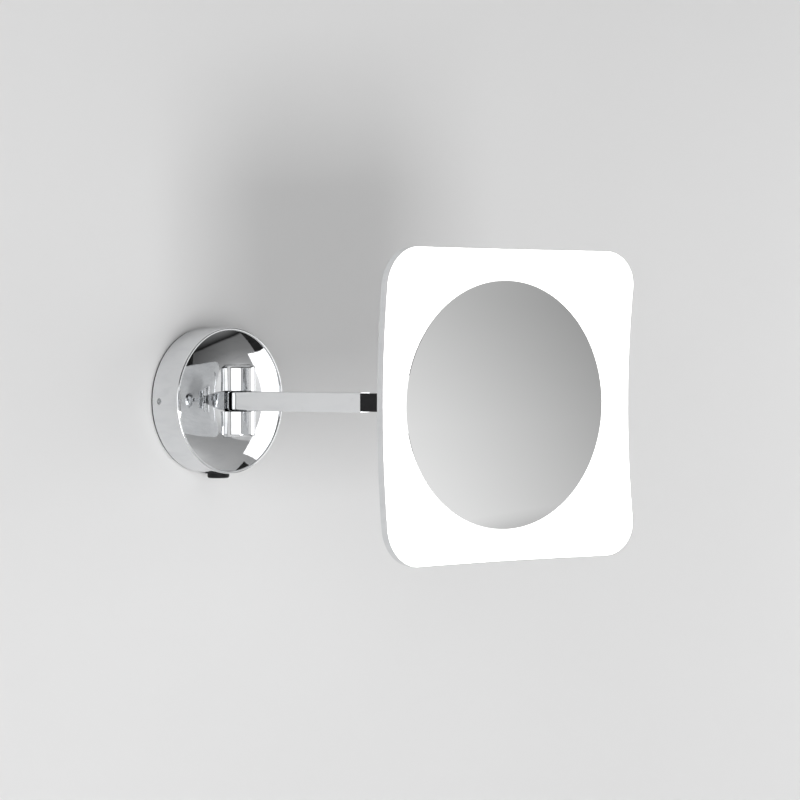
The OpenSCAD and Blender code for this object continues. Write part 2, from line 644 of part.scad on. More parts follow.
wall_plate();
wall_gasket();
cable_grommet();
base_cover();
side_screws();
hinge_carrier();
carrier_screws();
base_fork();
fork_screws();
base_pin();
base_pin_caps();
base_washers();
led_driver();
driver_screws();
terminal_block();
terminal_screws();
earth_stud();
switch_body();
switch_bezel();
switch_button();
arm_bar();
arm_collar();
arm_end();
arm_spigot();
pin_bushes();
head_fork();
head_pin();
head_pin_caps();
head_washers();
tilt_bracket();
bracket_screws();
nut_plate();
tilt_bolt();
tilt_nut();
tilt_washers();
back_shell();
panel_seal();
front_panel();
mirror_disc();
light_guide();
reflector_sheet();
board_tape();
led_board();
foam_ring();
leds();
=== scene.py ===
import json
import logging
import math
from dataclasses import dataclass, field
from enum import Enum
from typing import Callable

import bmesh
import bpy
import numpy as np
from mathutils import Matrix, Vector


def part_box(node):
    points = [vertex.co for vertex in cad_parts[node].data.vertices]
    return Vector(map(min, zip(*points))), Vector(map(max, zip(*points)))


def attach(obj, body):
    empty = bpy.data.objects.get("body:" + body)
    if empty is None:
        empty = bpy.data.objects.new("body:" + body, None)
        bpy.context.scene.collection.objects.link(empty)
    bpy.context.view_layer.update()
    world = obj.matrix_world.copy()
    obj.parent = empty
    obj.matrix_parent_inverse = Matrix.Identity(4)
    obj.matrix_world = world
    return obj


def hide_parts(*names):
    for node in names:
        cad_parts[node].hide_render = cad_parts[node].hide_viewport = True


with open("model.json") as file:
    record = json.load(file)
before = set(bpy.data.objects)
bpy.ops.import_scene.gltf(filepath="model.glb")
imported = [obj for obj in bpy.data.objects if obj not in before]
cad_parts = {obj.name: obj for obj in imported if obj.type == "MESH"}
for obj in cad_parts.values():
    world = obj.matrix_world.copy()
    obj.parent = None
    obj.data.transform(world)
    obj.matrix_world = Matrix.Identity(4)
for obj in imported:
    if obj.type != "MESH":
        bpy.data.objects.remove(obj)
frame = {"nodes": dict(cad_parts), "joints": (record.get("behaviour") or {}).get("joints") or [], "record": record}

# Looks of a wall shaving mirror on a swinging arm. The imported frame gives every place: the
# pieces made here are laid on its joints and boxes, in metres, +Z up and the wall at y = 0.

LOG = logging.getLogger("shaving_mirror")
MM = 0.001
# a step too small to see, which keeps two rings of one mesh apart
HAIR = 1e-6
Colour = tuple[float, float, float]


class Surface(Enum):
    """How a finish is made, which picks the nodes it is built from."""

    POLISHED = "polished plate"
    BRUSHED = "brushed or rolled metal"
    TURNED = "turned metal"
    MOULDED = "moulded plastic"
    RUBBER = "rubber"
    FOAM = "foam"
    CLEAR = "clear plastic"
    LIT = "lit plastic"
    SILVERED = "silvered glass"


@dataclass(frozen=True)
class Finish:
    """One finish of the object: two close tones, a span of roughness and a grain."""

    name: str
    surface: Surface
    tone_a: Colour
    tone_b: Colour
    rough: tuple[float, float]
    grain: float = 600.0
    depth: float = 0.00002
    metallic: float = 0.0
    coat: float = 0.0
    shine: float = 0.5
    glow: float = 0.0


FINISHES: dict[str, Finish] = {
    f.name: f
    for f in (
        Finish(
            "polished_chrome", Surface.POLISHED,
            (0.80, 0.81, 0.82), (0.74, 0.75, 0.765), (0.025, 0.07), 45, 0.000004, 1.0,
        ),
        Finish(
            "rear_shell_chrome", Surface.POLISHED,
            (0.78, 0.79, 0.80), (0.72, 0.73, 0.745), (0.04, 0.1), 35, 0.000006, 1.0,
        ),
        Finish(
            "zinc_steel", Surface.BRUSHED,
            (0.62, 0.63, 0.64), (0.5, 0.51, 0.53), (0.28, 0.5), 700, 0.00001, 1.0,
        ),
        Finish(
            "bracket_steel", Surface.BRUSHED,
            (0.7, 0.71, 0.72), (0.6, 0.61, 0.62), (0.18, 0.34), 900, 0.000008, 1.0,
        ),
        Finish(
            "screw_steel", Surface.TURNED,
            (0.62, 0.63, 0.64), (0.5, 0.51, 0.52), (0.18, 0.36), 1500, 0.000006, 1.0,
        ),
        Finish(
            "ground_steel", Surface.TURNED,
            (0.56, 0.56, 0.58), (0.48, 0.48, 0.5), (0.12, 0.24), 2200, 0.000003, 1.0,
        ),
        Finish(
            "brass_metal", Surface.TURNED,
            (0.8, 0.62, 0.28), (0.68, 0.5, 0.2), (0.2, 0.4), 1400, 0.000006, 1.0,
        ),
        Finish(
            "bronze_bush", Surface.TURNED,
            (0.66, 0.47, 0.26), (0.5, 0.35, 0.19), (0.35, 0.55), 1800, 0.00001, 1.0,
        ),
        Finish(
            "black_rubber", Surface.RUBBER,
            (0.028, 0.028, 0.029), (0.05, 0.05, 0.05), (0.6, 0.82), 1800, 0.00003,
        ),
        Finish(
            "black_foam", Surface.FOAM,
            (0.05, 0.05, 0.052), (0.11, 0.11, 0.115), (0.85, 1.0), 1300, 0.0002,
        ),
        Finish(
            "black_plastic", Surface.MOULDED,
            (0.012, 0.012, 0.013), (0.02, 0.02, 0.021), (0.42, 0.55), 2600, 0.00001, shine=0.22,
        ),
        Finish(
            "button_plastic", Surface.MOULDED,
            (0.01, 0.01, 0.01), (0.018, 0.018, 0.019), (0.42, 0.55), 3000, 0.000008, shine=0.12,
        ),
        Finish(
            "washer_plastic", Surface.MOULDED,
            (0.04, 0.04, 0.04), (0.06, 0.06, 0.06), (0.4, 0.5), 2500, 0.00001,
        ),
        Finish(
            "white_plastic", Surface.MOULDED,
            (0.86, 0.86, 0.84), (0.8, 0.8, 0.78), (0.4, 0.52), 2200, 0.00001,
        ),
        Finish(
            "reflector_white", Surface.MOULDED,
            (0.95, 0.95, 0.95), (0.9, 0.9, 0.9), (0.6, 0.8), 1500, 0.00001,
        ),
        Finish(
            "board_white", Surface.MOULDED,
            (0.88, 0.89, 0.86), (0.8, 0.82, 0.79), (0.3, 0.42), 1200, 0.00001, coat=0.3,
        ),
        Finish(
            "lit_acrylic", Surface.LIT,
            (1.0, 1.0, 0.992), (0.985, 0.985, 0.97), (0.22, 0.34), 1600, 0.000006, glow=1.25,
        ),
        Finish(
            "led_lens", Surface.LIT,
            (1.0, 0.93, 0.72), (1.0, 0.88, 0.6), (0.2, 0.3), 900, 0.00001, glow=2.0,
        ),
        Finish(
            "clear_acrylic", Surface.CLEAR,
            (0.95, 0.97, 0.98), (0.9, 0.93, 0.95), (0.04, 0.12), 500, 0.000006,
        ),
        Finish(
            "mirror_glass", Surface.SILVERED,
            (0.835, 0.838, 0.836), (0.829, 0.832, 0.83), (0.0, 0.006), 9, 0.0, 1.0,
        ),
    )
}


class Groups:
    """Shader node groups used by more than one finish, each built once."""

    def __init__(self) -> None:
        """Starts with no group made."""
        self._made: dict[str, bpy.types.NodeTree] = {}

    def _open(
        self, name: str, inputs: dict[str, tuple[str, object]], outputs: dict[str, str]
    ) -> tuple[bpy.types.NodeTree, bpy.types.Node, bpy.types.Node]:
        """Makes an empty group with its sockets.

        Args:
            name: name of the group.
            inputs: socket name to (socket type, default or None).
            outputs: socket name to socket type.

        Returns:
            The tree, its input node and its output node.
        """
        tree = bpy.data.node_groups.new(name, "ShaderNodeTree")
        for key, (kind, default) in inputs.items():
            socket = tree.interface.new_socket(name=key, in_out="INPUT", socket_type=kind)
            if default is not None:
                socket.default_value = default
        for key, kind in outputs.items():
            tree.interface.new_socket(name=key, in_out="OUTPUT", socket_type=kind)
        self._made[name] = tree
        return tree, tree.nodes.new("NodeGroupInput"), tree.nodes.new("NodeGroupOutput")

    def grain(self) -> bpy.types.NodeTree:
        """Fine grain: noise of two sizes added, given as a height and a mask.

        Returns:
            The group, with Vector, Scale and Coarse inputs.
        """
        if "fine grain" in self._made:
            return self._made["fine grain"]
        tree, gin, gout = self._open(
            "fine grain",
            {
                "Vector": ("NodeSocketVector", None),
                "Scale": ("NodeSocketFloat", 600.0),
                "Coarse": ("NodeSocketFloat", 0.25),
            },
            {"Height": "NodeSocketFloat", "Mask": "NodeSocketFloat"},
        )
        link = tree.links.new
        fine, wide = tree.nodes.new("ShaderNodeTexNoise"), tree.nodes.new("ShaderNodeTexNoise")
        fine.inputs["Detail"].default_value = 4.0
        wide.inputs["Detail"].default_value = 2.0
        share = tree.nodes.new("ShaderNodeMath")
        share.operation = "MULTIPLY"
        share.inputs[1].default_value = 0.12
        link(gin.outputs["Scale"], share.inputs[0])
        for node, size in ((fine, gin.outputs["Scale"]), (wide, share.outputs[0])):
            link(gin.outputs["Vector"], node.inputs["Vector"])
            link(size, node.inputs["Scale"])
        mix = tree.nodes.new("ShaderNodeMix")
        link(gin.outputs["Coarse"], mix.inputs[0])
        link(fine.outputs["Fac"], mix.inputs[2])
        link(wide.outputs["Fac"], mix.inputs[3])
        link(mix.outputs[0], gout.inputs["Height"])
        link(wide.outputs["Fac"], gout.inputs["Mask"])
        return tree

    def wiped(self) -> bpy.types.NodeTree:
        """Faint wipe marks on polish: stretched noise raised to a soft threshold.

        Returns:
            The group, with Vector and Scale inputs and a Mask output.
        """
        if "wipe marks" in self._made:
            return self._made["wipe marks"]
        tree, gin, gout = self._open(
            "wipe marks",
            {"Vector": ("NodeSocketVector", None), "Scale": ("NodeSocketFloat", 40.0)},
            {"Mask": "NodeSocketFloat"},
        )
        link = tree.links.new
        turn = tree.nodes.new("ShaderNodeMapping")
        turn.inputs["Rotation"].default_value = (0.4, 0.9, 0.3)
        turn.inputs["Scale"].default_value = (1.0, 1.0, 3.5)
        noise = tree.nodes.new("ShaderNodeTexNoise")
        noise.inputs["Detail"].default_value = 6.0
        noise.inputs["Distortion"].default_value = 0.6
        span = tree.nodes.new("ShaderNodeMapRange")
        span.interpolation_type = "SMOOTHSTEP"
        span.inputs["From Min"].default_value = 0.4
        span.inputs["From Max"].default_value = 0.75
        link(gin.outputs["Vector"], turn.inputs["Vector"])
        link(turn.outputs[0], noise.inputs["Vector"])
        link(gin.outputs["Scale"], noise.inputs["Scale"])
        link(noise.outputs["Fac"], span.inputs["Value"])
        link(span.outputs[0], gout.inputs["Mask"])
        return tree

    def brushed(self) -> bpy.types.NodeTree:
        """Brush lines: noise stretched thirty times along X.

        Returns:
            The group, with Vector and Scale inputs, Height and Mask outputs.
        """
        if "brush lines" in self._made:
            return self._made["brush lines"]
        tree, gin, gout = self._open(
            "brush lines",
            {"Vector": ("NodeSocketVector", None), "Scale": ("NodeSocketFloat", 700.0)},
            {"Height": "NodeSocketFloat", "Mask": "NodeSocketFloat"},
        )
        link = tree.links.new
        turn = tree.nodes.new("ShaderNodeMapping")
        turn.inputs["Scale"].default_value = (0.035, 1.0, 1.0)
        lines, patch = tree.nodes.new("ShaderNodeTexNoise"), tree.nodes.new("ShaderNodeTexVoronoi")
        lines.inputs["Detail"].default_value = 3.0
        patch.inputs["Scale"].default_value = 160.0
        link(gin.outputs["Vector"], turn.inputs["Vector"])
        link(turn.outputs[0], lines.inputs["Vector"])
        link(gin.outputs["Scale"], lines.inputs["Scale"])
        link(gin.outputs["Vector"], patch.inputs["Vector"])
        link(lines.outputs["Fac"], gout.inputs["Height"])
        link(patch.outputs["Distance"], gout.inputs["Mask"])
        return tree


class FinishMaker:
    """Builds each finish as a material and dresses pieces with it."""

    def __init__(self) -> None:
        """Starts with no material made."""
        self.groups = Groups()
        self._made: dict[str, bpy.types.Material] = {}

    def get(self, name: str) -> bpy.types.Material:
        """Gives the material of a finish, made on first use.

        Args:
            name: name of the finish, which is the record's slot.

        Returns:
            The material.
        """
        if name not in self._made:
            self._made[name] = self._build(FINISHES[name])
        return self._made[name]

    def _build(self, finish: Finish) -> bpy.types.Material:
        """Wires one finish: a group gives a mask and a height, which vary tone, roughness and normal.

        Args:
            finish: what to build.

        Returns:
            The finished material.
        """
        mat = bpy.data.materials.new(finish.name)
        mat.use_nodes = True
        tree = mat.node_tree
        link, shader = tree.links.new, tree.nodes["Principled BSDF"]
        shader.inputs["Metallic"].default_value = finish.metallic
        shader.inputs["Coat Weight"].default_value = finish.coat
        shader.inputs["Specular IOR Level"].default_value = finish.shine
        place = tree.nodes.new("ShaderNodeTexCoord")
        group = tree.nodes.new("ShaderNodeGroup")
        if finish.surface in (Surface.POLISHED, Surface.SILVERED):
            group.node_tree = self.groups.wiped()
        elif finish.surface is Surface.BRUSHED:
            group.node_tree = self.groups.brushed()
        else:
            group.node_tree = self.groups.grain()
        group.inputs["Scale"].default_value = finish.grain
        link(place.outputs["Object"], group.inputs["Vector"])
        mask = group.outputs["Mask"]
        tone = tree.nodes.new("ShaderNodeMix")
        tone.data_type = "RGBA"
        tone.inputs[6].default_value = (*finish.tone_a, 1.0)
        tone.inputs[7].default_value = (*finish.tone_b, 1.0)
        link(mask, tone.inputs[0])
        link(tone.outputs[2], shader.inputs["Base Color"])
        span = tree.nodes.new("ShaderNodeMapRange")
        span.inputs["To Min"].default_value, span.inputs["To Max"].default_value = finish.rough
        link(mask, span.inputs["Value"])
        link(span.outputs[0], shader.inputs["Roughness"])
        if finish.depth > 0.0:
            bump = tree.nodes.new("ShaderNodeBump")
            bump.inputs["Strength"].default_value = 1.0
            bump.inputs["Distance"].default_value = finish.depth
            link(group.outputs["Height"] if "Height" in group.outputs else mask, bump.inputs["Height"])
            link(bump.outputs[0], shader.inputs["Normal"])
        if finish.surface is Surface.LIT:
            link(tone.outputs[2], shader.inputs["Emission Color"])
            shader.inputs["Emission Strength"].default_value = finish.glow
        if finish.surface is Surface.CLEAR:
            shader.inputs["Transmission Weight"].default_value = 0.9
            shader.inputs["IOR"].default_value = 1.49
        return mat

    def dress(self, piece: bpy.types.Object, name: str) -> None:
        """Puts a finish on every slot of a piece.

        Args:
            piece: mesh object.
            name: finish to use.
        """
        mat = self.get(name)
        if not piece.material_slots:
            piece.data.materials.append(mat)
        for held in piece.material_slots:
            held.material = mat

    def dress_node(self, node: str) -> None:
        """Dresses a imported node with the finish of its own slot."""
        piece = frame["nodes"][node]
        slot = next(s["material_slot"] for s in frame["record"]["subparts"] if s["node"] == node)
        self.dress(piece, slot)
        LOG.info("dressed node %s with %s", node, slot)


def grid_object(
    name: str, points: np.ndarray, wrap_rows: bool, wrap_cols: bool, sharp_deg: float = 32.0
) -> bpy.types.Object:
    """Makes a smooth shaded mesh of quads from a grid of points, poles merged and faces outward.

    Args:
        name: object name.
        points: array of rows by columns by 3, in metres.
        wrap_rows: joins the last row to the first.
        wrap_cols: joins the last column to the first.
        sharp_deg: edges that turn by more than this stay crisp.

    Returns:
        The new object, at the origin.
    """
    rows, cols = points.shape[:2]
    index = np.arange(rows * cols).reshape(rows, cols)
    down = np.roll(index, -1, 0) if wrap_rows else index[1:]
    here = index if wrap_rows else index[:-1]
    if wrap_cols:
        quads = np.stack([here, np.roll(here, -1, 1), np.roll(down, -1, 1), down], -1)
    else:
        quads = np.stack([here[:, :-1], here[:, 1:], down[:, 1:], down[:, :-1]], -1)
    mesh = bpy.data.meshes.new(name)
    mesh.from_pydata(points.reshape(-1, 3).tolist(), [], quads.reshape(-1, 4).tolist())
    work = bmesh.new()
    work.from_mesh(mesh)
    bmesh.ops.remove_doubles(work, verts=work.verts, dist=1e-7)
    bmesh.ops.recalc_face_normals(work, faces=work.faces)
    work.to_mesh(mesh)
    work.free()
    piece = bpy.data.objects.new(name, mesh)
    bpy.context.scene.collection.objects.link(piece)
    mesh.shade_smooth()
    mesh.set_sharp_from_angle(angle=math.radians(sharp_deg))
    return piece


def arc(cx: float, cy: float, r: float, a0: float, a1: float, count: int) -> np.ndarray:
    """Points on a circle: centre plus radius times (cos, sin) of the angle.

    Args:
        cx, cy: centre.
        r: radius.
        a0, a1: first and last angle, in degrees.
        count: how many points.

    Returns:
        Array of count by 2.
    """
    t = np.radians(np.linspace(a0, a1, count))
    return np.stack([cx + r * np.cos(t), cy + r * np.sin(t)], -1)


def turned(
    name: str, profile: np.ndarray, place: Callable[[np.ndarray], np.ndarray], count: int = 160
) -> bpy.types.Object:
    """Turns a profile of (radius, height) round an axis: x = r cos t, y = r sin t, z = height.

    Args:
        name: object name.
        profile: array of (radius, height), in metres.
        place: moves local points to the row frame.
        count: columns round the axis.

    Returns:
        The new object.
    """
    t = np.linspace(0, 2 * np.pi, count, endpoint=False)
    r, h = profile[:, :1], profile[:, 1:]
    points = np.stack([r * np.cos(t), r * np.sin(t), h + 0 * t], -1)
    return grid_object(name, place(points), False, True)


@dataclass
class WallBase:
    """Domed chrome cover on the wall with its hinge barrel, side screws and push switch."""

    maker: FinishMaker
    lip_w: float = 1.5 * MM
    lip_step: float = 0.5 * MM
    lip_round: float = 0.9 * MM
    flat_r: float = 16 * MM
    rise: float = 7 * MM
    wall: float = 2 * MM
    window: tuple[float, float] = (12.7 * MM, 24.7 * MM)
    spot_half: float = 9.45 * MM
    button_out: float = 3.2 * MM
    crisp_deg: float = 26
    screw_gap: float = 0.15 * MM
    button_edge: float = 1.2 * MM
    dish: float = 0.45 * MM
    socket: float = 4.5 * MM
    pin_r: float = 3 * MM
    nodes: tuple[str, ...] = (
        "wall_plate", "wall_gasket", "cable_grommet", "side_screws", "hinge_carrier",
        "carrier_screws", "base_fork", "fork_screws", "base_pin", "base_pin_caps",
        "base_washers", "led_driver", "driver_screws", "terminal_block", "terminal_screws",
        "earth_stud", "switch_body", "switch_bezel",
    )

    def dome(self, rho: np.ndarray, edge: float) -> np.ndarray:
        """Height of the dome: level to flat_r, then a circle that drops by rise at the lip.

        Args:
            rho: distance from the middle.
            edge: radius of the lip.

        Returns:
            Height below the level middle, zero or less.
        """
        run = edge - self.flat_r
        big = (run**2 + self.rise**2) / (2 * self.rise)
        out = np.clip(rho - self.flat_r, 0, run)
        return np.sqrt(big**2 - out**2) - big

    def build_cover(self) -> bpy.types.Object:
        """Makes the cover as rays that leave the window, cross dome, lip and rim, and return inside.

        Returns:
            The cover piece.
        """
        lo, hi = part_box("base_cover")
        radius, top, foot = (hi.x - lo.x) / 2, -lo.y, -hi.y
        lip = radius - self.lip_w
        half_x, half_z = self.window
        corners = [s * math.atan2(half_z, w) for s in (1, -1) for w in (half_x, -half_x)]
        t = np.unique(np.concatenate([np.linspace(-np.pi, np.pi, 480, endpoint=False), corners]))
        with np.errstate(divide="ignore"):
            start = np.minimum(half_x / np.abs(np.cos(t)), half_z / np.abs(np.sin(t)))
        share = np.linspace(0, 1, 44)[:, None]
        rho_out = start + (lip - start) * share
        inner = radius - self.wall
        rho_in = (start + (inner - start) * share)[::-1]
        rim_top = top - self.rise + self.lip_step
        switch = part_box("switch_button")
        mid = -(switch[0].y + switch[1].y) / 2
        steps = [(radius, mid + self.spot_half), (radius, mid + self.spot_half - HAIR)]
        steps += [(radius, mid + self.spot_half * k) for k in (0.5, 0, -0.5)]
        steps += [(radius, mid - self.spot_half + HAIR), (radius, mid - self.spot_half)]
        bend = arc(radius - self.lip_round, rim_top - self.lip_round, self.lip_round, 90, 0, 9).tolist()
        back = [(radius, foot), (inner, foot), (inner, top - self.rise - self.wall)]
        rim = np.array([(lip, rim_top)] + bend + steps + back)
        rho = np.vstack([rho_out, rim[:, :1] + 0 * t, rho_in])
        deep_out = top + self.dome(rho_out, lip)
        deep_in = top - self.wall + self.dome(rho_in, lip)
        deep = np.vstack([deep_out, rim[:, 1:] + 0 * t, deep_in])
        points = np.stack([rho * np.cos(t), -deep, rho * np.sin(t)], -1)
        spot = math.sqrt(radius**2 - self.spot_half**2)
        cut = (np.abs(deep - mid) < self.spot_half - HAIR / 2) & (rho > radius - self.lip_w / 2)
        points[..., 2] = np.where(cut, np.maximum(points[..., 2], -spot), points[..., 2])
        cover = grid_object("domed_cover", points, True, True, self.crisp_deg)
        self._bore_sides(cover, radius)
        return cover

    def _bore_sides(self, cover: bpy.types.Object, radius: float) -> None:
        """Bores the two side screw holes through the rim.

        Args:
            cover: the cover piece.
            radius: outside radius of the cover.
        """
        lo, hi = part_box("side_screws")
        mid_y, r = (lo.y + hi.y) / 2, (hi.z - lo.z) / 2 + self.screw_gap
        span = np.array([[0, -2 * radius], [r, -2 * radius], [r, 2 * radius], [0, 2 * radius]])
        for sign in (-1, 1):
            ends = span * [1, 0.05] + [0, sign * radius * 0.98]
            tool = turned(
                "bore_tool", ends, lambda p: np.stack([p[..., 2], p[..., 0] + mid_y, p[..., 1]], -1), 48
            )
            cut = cover.modifiers.new("bore", "BOOLEAN")
            cut.operation, cut.object, cut.solver = "DIFFERENCE", tool, "EXACT"
            solved = cover.evaluated_get(bpy.context.evaluated_depsgraph_get())
            done = bpy.data.meshes.new_from_object(solved)
            cover.modifiers.clear()
            cover.data = done
            bpy.data.objects.remove(tool)
        cover.data.set_sharp_from_angle(angle=math.radians(self.crisp_deg))

    def build_button(self) -> bpy.types.Object:
        """Makes the push button: a turned stem with a rounded shoulder and a shallow dish.

        Returns:
            The button piece.
        """
        lo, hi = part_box("switch_button")
        r, mid_x, mid_y = (hi.x - lo.x) / 2, (hi.x + lo.x) / 2, (hi.y + lo.y) / 2
        edge, high = self.button_edge, hi.z - lo.z
        rho = np.linspace(0, r - edge, 14)
        face = np.stack([rho, self.dish * (1 - (rho / (r - edge)) ** 2)], -1)
        stem = self.button_out + self.socket
        shoulder = arc(r - edge, edge, edge, -90, 0, 10)[1:]
        pin = [[r, stem], [self.pin_r, stem], [self.pin_r, high], [0, high]]
        profile = np.vstack([face, shoulder, pin])
        return turned("push_button", profile, lambda p: p + np.array([mid_x, mid_y, lo.z]), 128)

    def build(self) -> None:
        """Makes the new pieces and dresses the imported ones."""
        cover = self.build_cover()
        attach(cover, "base")
        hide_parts("base_cover")
        self.maker.dress(cover, "polished_chrome")
        LOG.info("made %s", cover.name)
        button = self.build_button()
        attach(button, "button")
        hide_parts("switch_button")
        self.maker.dress(button, "button_plastic")
        LOG.info("made %s", button.name)
        for node in self.nodes:
            self.maker.dress_node(node)


@dataclass
class SwingArm:
    """Square chrome bar in two halves with a black collar, turning on bushes at both ends."""

    maker: FinishMaker
    nodes: tuple[str, ...] = ("arm_bar", "arm_collar", "arm_end", "arm_spigot", "pin_bushes")

    def build(self) -> None:
        """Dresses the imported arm, whose shape is already right."""
        for node in self.nodes:
            self.maker.dress_node(node)


@dataclass
class HeadJoint:
    """Barrel on the arm's end with its pin, caps, washers and tilt eye."""

    maker: FinishMaker
    nodes: tuple[str, ...] = ("head_fork", "head_pin", "head_pin_caps", "head_washers")

    def build(self) -> None:
        """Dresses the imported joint."""
        for node in self.nodes:
            self.maker.dress_node(node)


@dataclass
class MirrorHead:
    """Square lit head: hollow glowing panel, round hollow mirror, rear shell and tilt bracket."""

    maker: FinishMaker
    hollow_r: float = 600 * MM
    panel_t: float = 3 * MM
    glass_out: float = 37.5 * MM
    gap: float = 0.15 * MM
    rim: float = 1.2 * MM
    lap: float = 0.2 * MM
    corner: float = 24 * MM
    half: float = 100 * MM
    mirror_r: float = 80 * MM
    mirror_edge: float = 0.35 * MM
    panel_edge: float = 0.5 * MM
    proud: float = 0.12 * MM
    nodes: tuple[str, ...] = (
        "tilt_bracket", "bracket_screws", "nut_plate", "tilt_bolt", "tilt_nut", "tilt_washers",
        "back_shell", "panel_seal", "light_guide", "reflector_sheet", "board_tape", "led_board",
        "foam_ring", "leds",
    )
    basis: np.ndarray = field(init=False)
    origin: np.ndarray = field(init=False)

    def __post_init__(self) -> None:
        """Reads the head's own axes and the middle of its glass from the two head joints."""
        joints = {j["name"]: j for j in frame["joints"]}
        swivel = np.array(joints["head_swivel"]["pos_m"])
        along = np.array(joints["head_tilt"]["axis"])
        out = np.array(joints["head_tilt"]["pos_m"]) - swivel
        out = out / np.linalg.norm(out)
        self.basis = np.stack([along, -out, np.array([0.0, 0.0, 1.0])])
        self.origin = swivel + self.glass_out * out

    def place(self, local: np.ndarray) -> np.ndarray:
        """Moves points from the glass's own frame (x across, y back, z up) to the row frame."""
        return local @ self.basis + self.origin

    def depth(self, rho: np.ndarray, behind: np.ndarray) -> np.ndarray:
        """Hollow front, a ball's surface: y = sqrt((R + behind)^2 - rho^2) - R, below zero in front."""
        return np.sqrt((self.hollow_r + behind) ** 2 - rho**2) - self.hollow_r

    def build_mirror(self) -> bpy.types.Object:
        """Makes the mirror: a hollow disc with a ground edge, turned about the head's axis.

        Returns:
            The mirror piece.
        """
        edge, r = self.mirror_edge, self.mirror_r
        rho = np.concatenate([np.linspace(0, r - edge, 60), [r, r], np.linspace(r, 0, 16)])
        back = np.concatenate([np.zeros(60), [edge, self.panel_t], np.full(16, self.panel_t)])
        profile = np.stack([rho, self.depth(rho, back)], -1)
        return turned(
            "round_mirror", profile,
            lambda p: self.place(np.stack([p[..., 0], p[..., 2], p[..., 1]], -1)), 256,
        )

    def outline(self, t: np.ndarray, h: float, c: float) -> np.ndarray:
        """Distance from the middle to a rounded square: h / max(|cos|, |sin|), or the corner's circle.

        Args:
            t: angles round the middle.
            h: half the square's width.
            c: radius of its corners.

        Returns:
            The distance at each angle.
        """
        cx, sy = np.abs(np.cos(t)), np.abs(np.sin(t))
        straight, k = h / np.maximum(cx, sy), h - c
        b = (cx + sy) * k
        bend = b + np.sqrt(np.maximum(b**2 - (2 * k**2 - c**2), 0))
        return np.where((straight * cx > k) & (straight * sy > k), bend, straight)

    def build_panel(self) -> bpy.types.Object:
        """Makes the lit panel as rays from the round opening to the square edge and back behind.

        The face stands proud by a hair past its first eighth, and its lip laps the shell's rim.

        Returns:
            The panel piece.
        """
        inner, h, c = self.mirror_r + self.gap, self.half - self.rim, self.corner - self.rim
        t = np.linspace(0, 2 * np.pi, 720, endpoint=False)
        outer = self.outline(t, h, c)
        lap = self.outline(t, self.half - self.lap, self.corner - self.lap)
        share = np.linspace(0, 1, 26)[:, None]
        front = (inner + self.panel_edge / 2) + (lap - inner - self.panel_edge) * share
        rho = np.vstack([front, lap, outer, outer, inner + 0 * t, inner + 0 * t])
        face = -self.proud * np.minimum(1.0, share[:, 0] * 8)
        sides = [0.0, 0.0, self.panel_t, self.panel_t, self.panel_edge / 2]
        behind = np.concatenate([face, sides])[:, None]
        y = self.depth(rho, behind + 0 * rho)
        points = np.stack([rho * np.cos(t), y, rho * np.sin(t)], -1)
        return grid_object("lit_panel", self.place(points), True, True)

    def build(self) -> None:
        """Makes the mirror and the panel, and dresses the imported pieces."""
        for piece, node, slot in (
            (self.build_mirror(), "mirror_disc", "mirror_glass"),
            (self.build_panel(), "front_panel", "lit_acrylic"),
        ):
            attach(piece, "head")
            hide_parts(node)
            self.maker.dress(piece, slot)
            LOG.info("made %s", piece.name)
        for node in self.nodes:
            self.maker.dress_node(node)


@dataclass(frozen=True)
class SoftLight:
    """A soft rectangular light and where it stands."""

    name: str
    place: tuple[float, float, float]
    aim: tuple[float, float, float]
    size: tuple[float, float]
    watts: float

    def build(self) -> None:
        """Puts the light in the scene, facing its aim."""
        data = bpy.data.lights.new(self.name, "AREA")
        data.shape, data.size, data.size_y, data.energy = "RECTANGLE", *self.size, self.watts
        lamp = bpy.data.objects.new(self.name, data)
        lamp.location = self.place
        lamp.visible_camera = False
        way = Vector(self.aim) - Vector(self.place)
        lamp.rotation_euler = way.to_track_quat("-Z", "Y").to_euler()
        bpy.context.scene.collection.objects.link(lamp)
        LOG.info("light %s", self.name)


